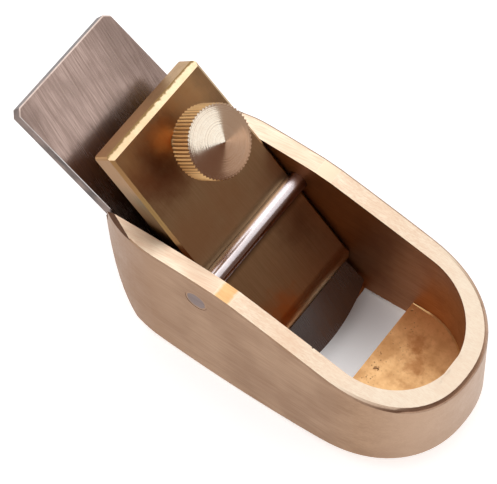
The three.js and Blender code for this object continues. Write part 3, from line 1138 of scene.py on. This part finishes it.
# Thumbscrew, modelled upright on the origin and then stood on its axis in the cap
thumbscrew = {
    "headSmoothAngle": 12,
    "studSmoothAngle": 30,
    "headRadius": 4.65 * mm,
    "lowerChamfer": 0.25 * mm,
    "toothDepth": 0.25 * mm,
    "teeth": 58,
    "rimHeight": 3.5 * mm,
    "headStandoff": 4.64 * mm,
    "coneHeight": 1.2 * mm,
    "coneShares": (0.95, 0.8, 0.6, 0.4, 0.2, 0.07, 0.02),
    "headWeldReach": 0.001 * mm,
    "neckRadius": 1.15 * mm,
    "neckFit": 0.1 * mm,
    "socketDepth": 2.3 * mm,
    "threadRadius": 1.5 * mm,
    "threadDepth": 0.24 * mm,
    "threadLead": 1.2 * mm,
    "pitch": 0.5 * mm,
    "threadSteps": 32,
    "studWeldReach": 0.002 * mm,
    "seatGap": 0.3 * mm,
    "runout": 0.05 * mm,
    # the tip's rounding: its width and how far down, as shares of the whole
    "tipShares": ((0.78, 0.25), (0.7, 0.55), (0.55, 0.8), (0.3, 0.96), (0.1, 1)),
    "ringPitch": 0.16 * mm,
    "ringDepth": 0.006 * mm,
    "rings": (0.45, 0.7, 0.25, (206, 172, 140)),
    # painted shade in the knurl's valleys, and on its far side
    "valleys": (0.2, -0.9, 0.8, (104, 66, 36)),
    "farSide": (0.5 * mm, 4.5 * mm, 0.6, (118, 84, 48)),
}
turnedBrass = {
    **brushedBrass, "clean": (255, 244, 226), "streakColor": (248, 230, 206), "tarnish": (242, 218, 192),
    "streak": 0.5, "cloud": 0.35, "roughness": 0.12, "roughSpread": 0.04,
    "brushLength": 0.6 * mm, "brushPitch": 0.4 * mm, "brushDepth": 0,
}
cutBrass = {
    **turnedBrass, "clean": (226, 186, 130), "streakColor": (208, 164, 108), "tarnish": (188, 144, 92),
    "roughness": 0.3,
}


def turningRings(spot, color, rough, height):
    # rings left by the lathe: the bump and colour change only with the distance from the screw's axis
    wear = thumbscrew
    turns = spot.awayFromAxis(screwPlace, screwAxis) * (1 / wear["ringPitch"])
    inputs = {"W": turns, "Scale": 1, "Detail": 2}
    rings = turns.node("ShaderNodeTexNoise", {"noise_dimensions": "1D"}, inputs)
    return color.shaded(rings, *wear["rings"]), rough, height + rings * wear["ringDepth"]


def knurlShade(spot, color, rough, height):
    # painted shade: the knurl's valleys are darker than its teeth, and the far side is darker
    wear = thumbscrew
    arm = spot.vectorMath("SUBTRACT", screwPlace, "Vector").moved(turn=(0, -capTurn, 0))
    angle = arm.axis("Y").math("ARCTAN2", arm.axis("X"))
    color = color.shaded((angle * wear["teeth"]).math("COSINE"), *wear["valleys"])
    return color.shaded(spot.axis("Y"), *wear["farSide"]), rough, height


def makeHead():
    size = thumbscrew
    rim = size["headRadius"] - size["lowerChamfer"]
    valley = size["headRadius"] - size["toothDepth"]
    step = math.pi / size["teeth"]
    floorZ = size["headStandoff"]
    bpy.ops.mesh.primitive_circle_add(
        vertices=2 * size["teeth"], radius=rim, fill_type="NGON", location=(0, 0, floorZ)
    )
    piece = nameNew("thumbscrewHead")
    bpy.ops.object.transform_apply(location=True)

    def ring(z, odd):
        # a test for every second vertex at one height: the teeth, or the valleys between them
        def test(vertex):
            count = round(math.atan2(vertex.co.y, vertex.co.x) / step)
            return abs(vertex.co.z - z) < samePlace and count % 2 == odd

        return test

    openMesh(piece)
    pick(piece, "faces", lambda face: True)
    pushOut(0, 0, size["lowerChamfer"])
    z = floorZ + size["lowerChamfer"]
    for odd, radius in ((0, size["headRadius"]), (1, valley)):
        pick(piece, "verts", ring(z, odd))
        widen(radius / rim)
    pick(piece, "faces", lambda face: face.normal.z > facing)
    pushOut(0, 0, size["rimHeight"] - size["lowerChamfer"])
    coneZ = floorZ + size["rimHeight"]
    last = 1
    for share in size["coneShares"]:
        pushOut(0, 0, size["coneHeight"] * (last - share))
        widen(share / last)
        if last == 1:
            # the cone is round above the teeth
            z = coneZ + size["coneHeight"] * (1 - share)
            pick(piece, "verts", ring(z, 0))
            widen(valley / size["headRadius"])
            pick(piece, "faces", lambda face: abs(face.calc_center_median().z - z) < samePlace)
        last = share
    pushOut(0, 0, size["coneHeight"] * last)
    bpy.ops.mesh.merge(type="CENTER")
    pick(piece, "faces", lambda face: (
        abs(face.normal.z) > facing and face.calc_center_median().z < floorZ + samePlace
    ))
    bpy.ops.mesh.inset(thickness=rim - size["neckRadius"] - size["neckFit"])
    pushOut(0, 0, size["socketDepth"])
    weld(size["headWeldReach"])
    faceOutwards()
    closeMesh()
    finishes = {
        "rim": metal("knurledRim", cutBrass, knurlShade),
        "top": metal("turnedTop", turnedBrass, turningRings),
    }
    paint(piece, finishes, lambda place, normal: "top" if place.z > coneZ and normal.z > leaning else "rim")
    leanBack(piece, screwPlace)
    finishPiece(piece, size["headSmoothAngle"], "thumbscrew_head", "head")


def makeStud():
    size = thumbscrew
    solid = frame["nodes"]["thumbscrew_stud"].data
    ups = [onSlope(vertex.co - screwPlace, capTurn).z for vertex in solid.vertices]
    tip, top = min(ups), max(ups)
    shoulder = size["headStandoff"] - size["seatGap"]
    threadLow = tip + size["threadLead"]
    root = size["threadRadius"] - size["threadDepth"]
    piece = newPiece("thumbscrewStud")
    start = threadLow - size["pitch"]
    bpy.ops.transform.translate(value=(root, 0, start))
    turns = math.ceil((shoulder - start) / size["pitch"]) + 1
    for count in range(2 * turns):
        pushOut(size["threadDepth"] * (1 - 2 * (count % 2)), 0, size["pitch"] / 2)
    closeMesh()
    applyModifier(
        piece, "SCREW", axis="Z", angle=2 * math.pi, screw_offset=size["pitch"], steps=size["threadSteps"],
        render_steps=size["threadSteps"], use_merge_vertices=False,
    )
    openMesh(piece)
    weld(size["studWeldReach"])
    planeOff(Vector((0, 0, threadLow)), Vector((0, 0, -1)))
    planeOff(Vector((0, 0, shoulder)), Vector((0, 0, 1)))

    def pickFlat(test):
        pick(piece, "faces", lambda face: abs(face.normal.z) > facing and test(face.calc_center_median().z))

    pickFlat(lambda z: z > shoulder - samePlace)
    bpy.ops.mesh.inset(thickness=size["threadDepth"] + size["runout"])
    pushOut(0, 0, top - shoulder)
    pickFlat(lambda z: z < threadLow + samePlace)
    drop = threadLow - tip
    last, lastDown = 1, 0
    for share, down in size["tipShares"]:
        pushOut(0, 0, -drop * (down - lastDown))
        widen(share / last)
        last, lastDown = share, down
    faceOutwards()
    closeMesh()
    paint(piece, {"thread": metal("threadBrass", cutBrass)}, lambda place, normal: "thread")
    leanBack(piece, screwPlace)
    finishPiece(piece, size["studSmoothAngle"], "thumbscrew_stud", "stud")


makeHead()
makeStud()

bpy.context.scene.view_settings.view_transform = "Standard"
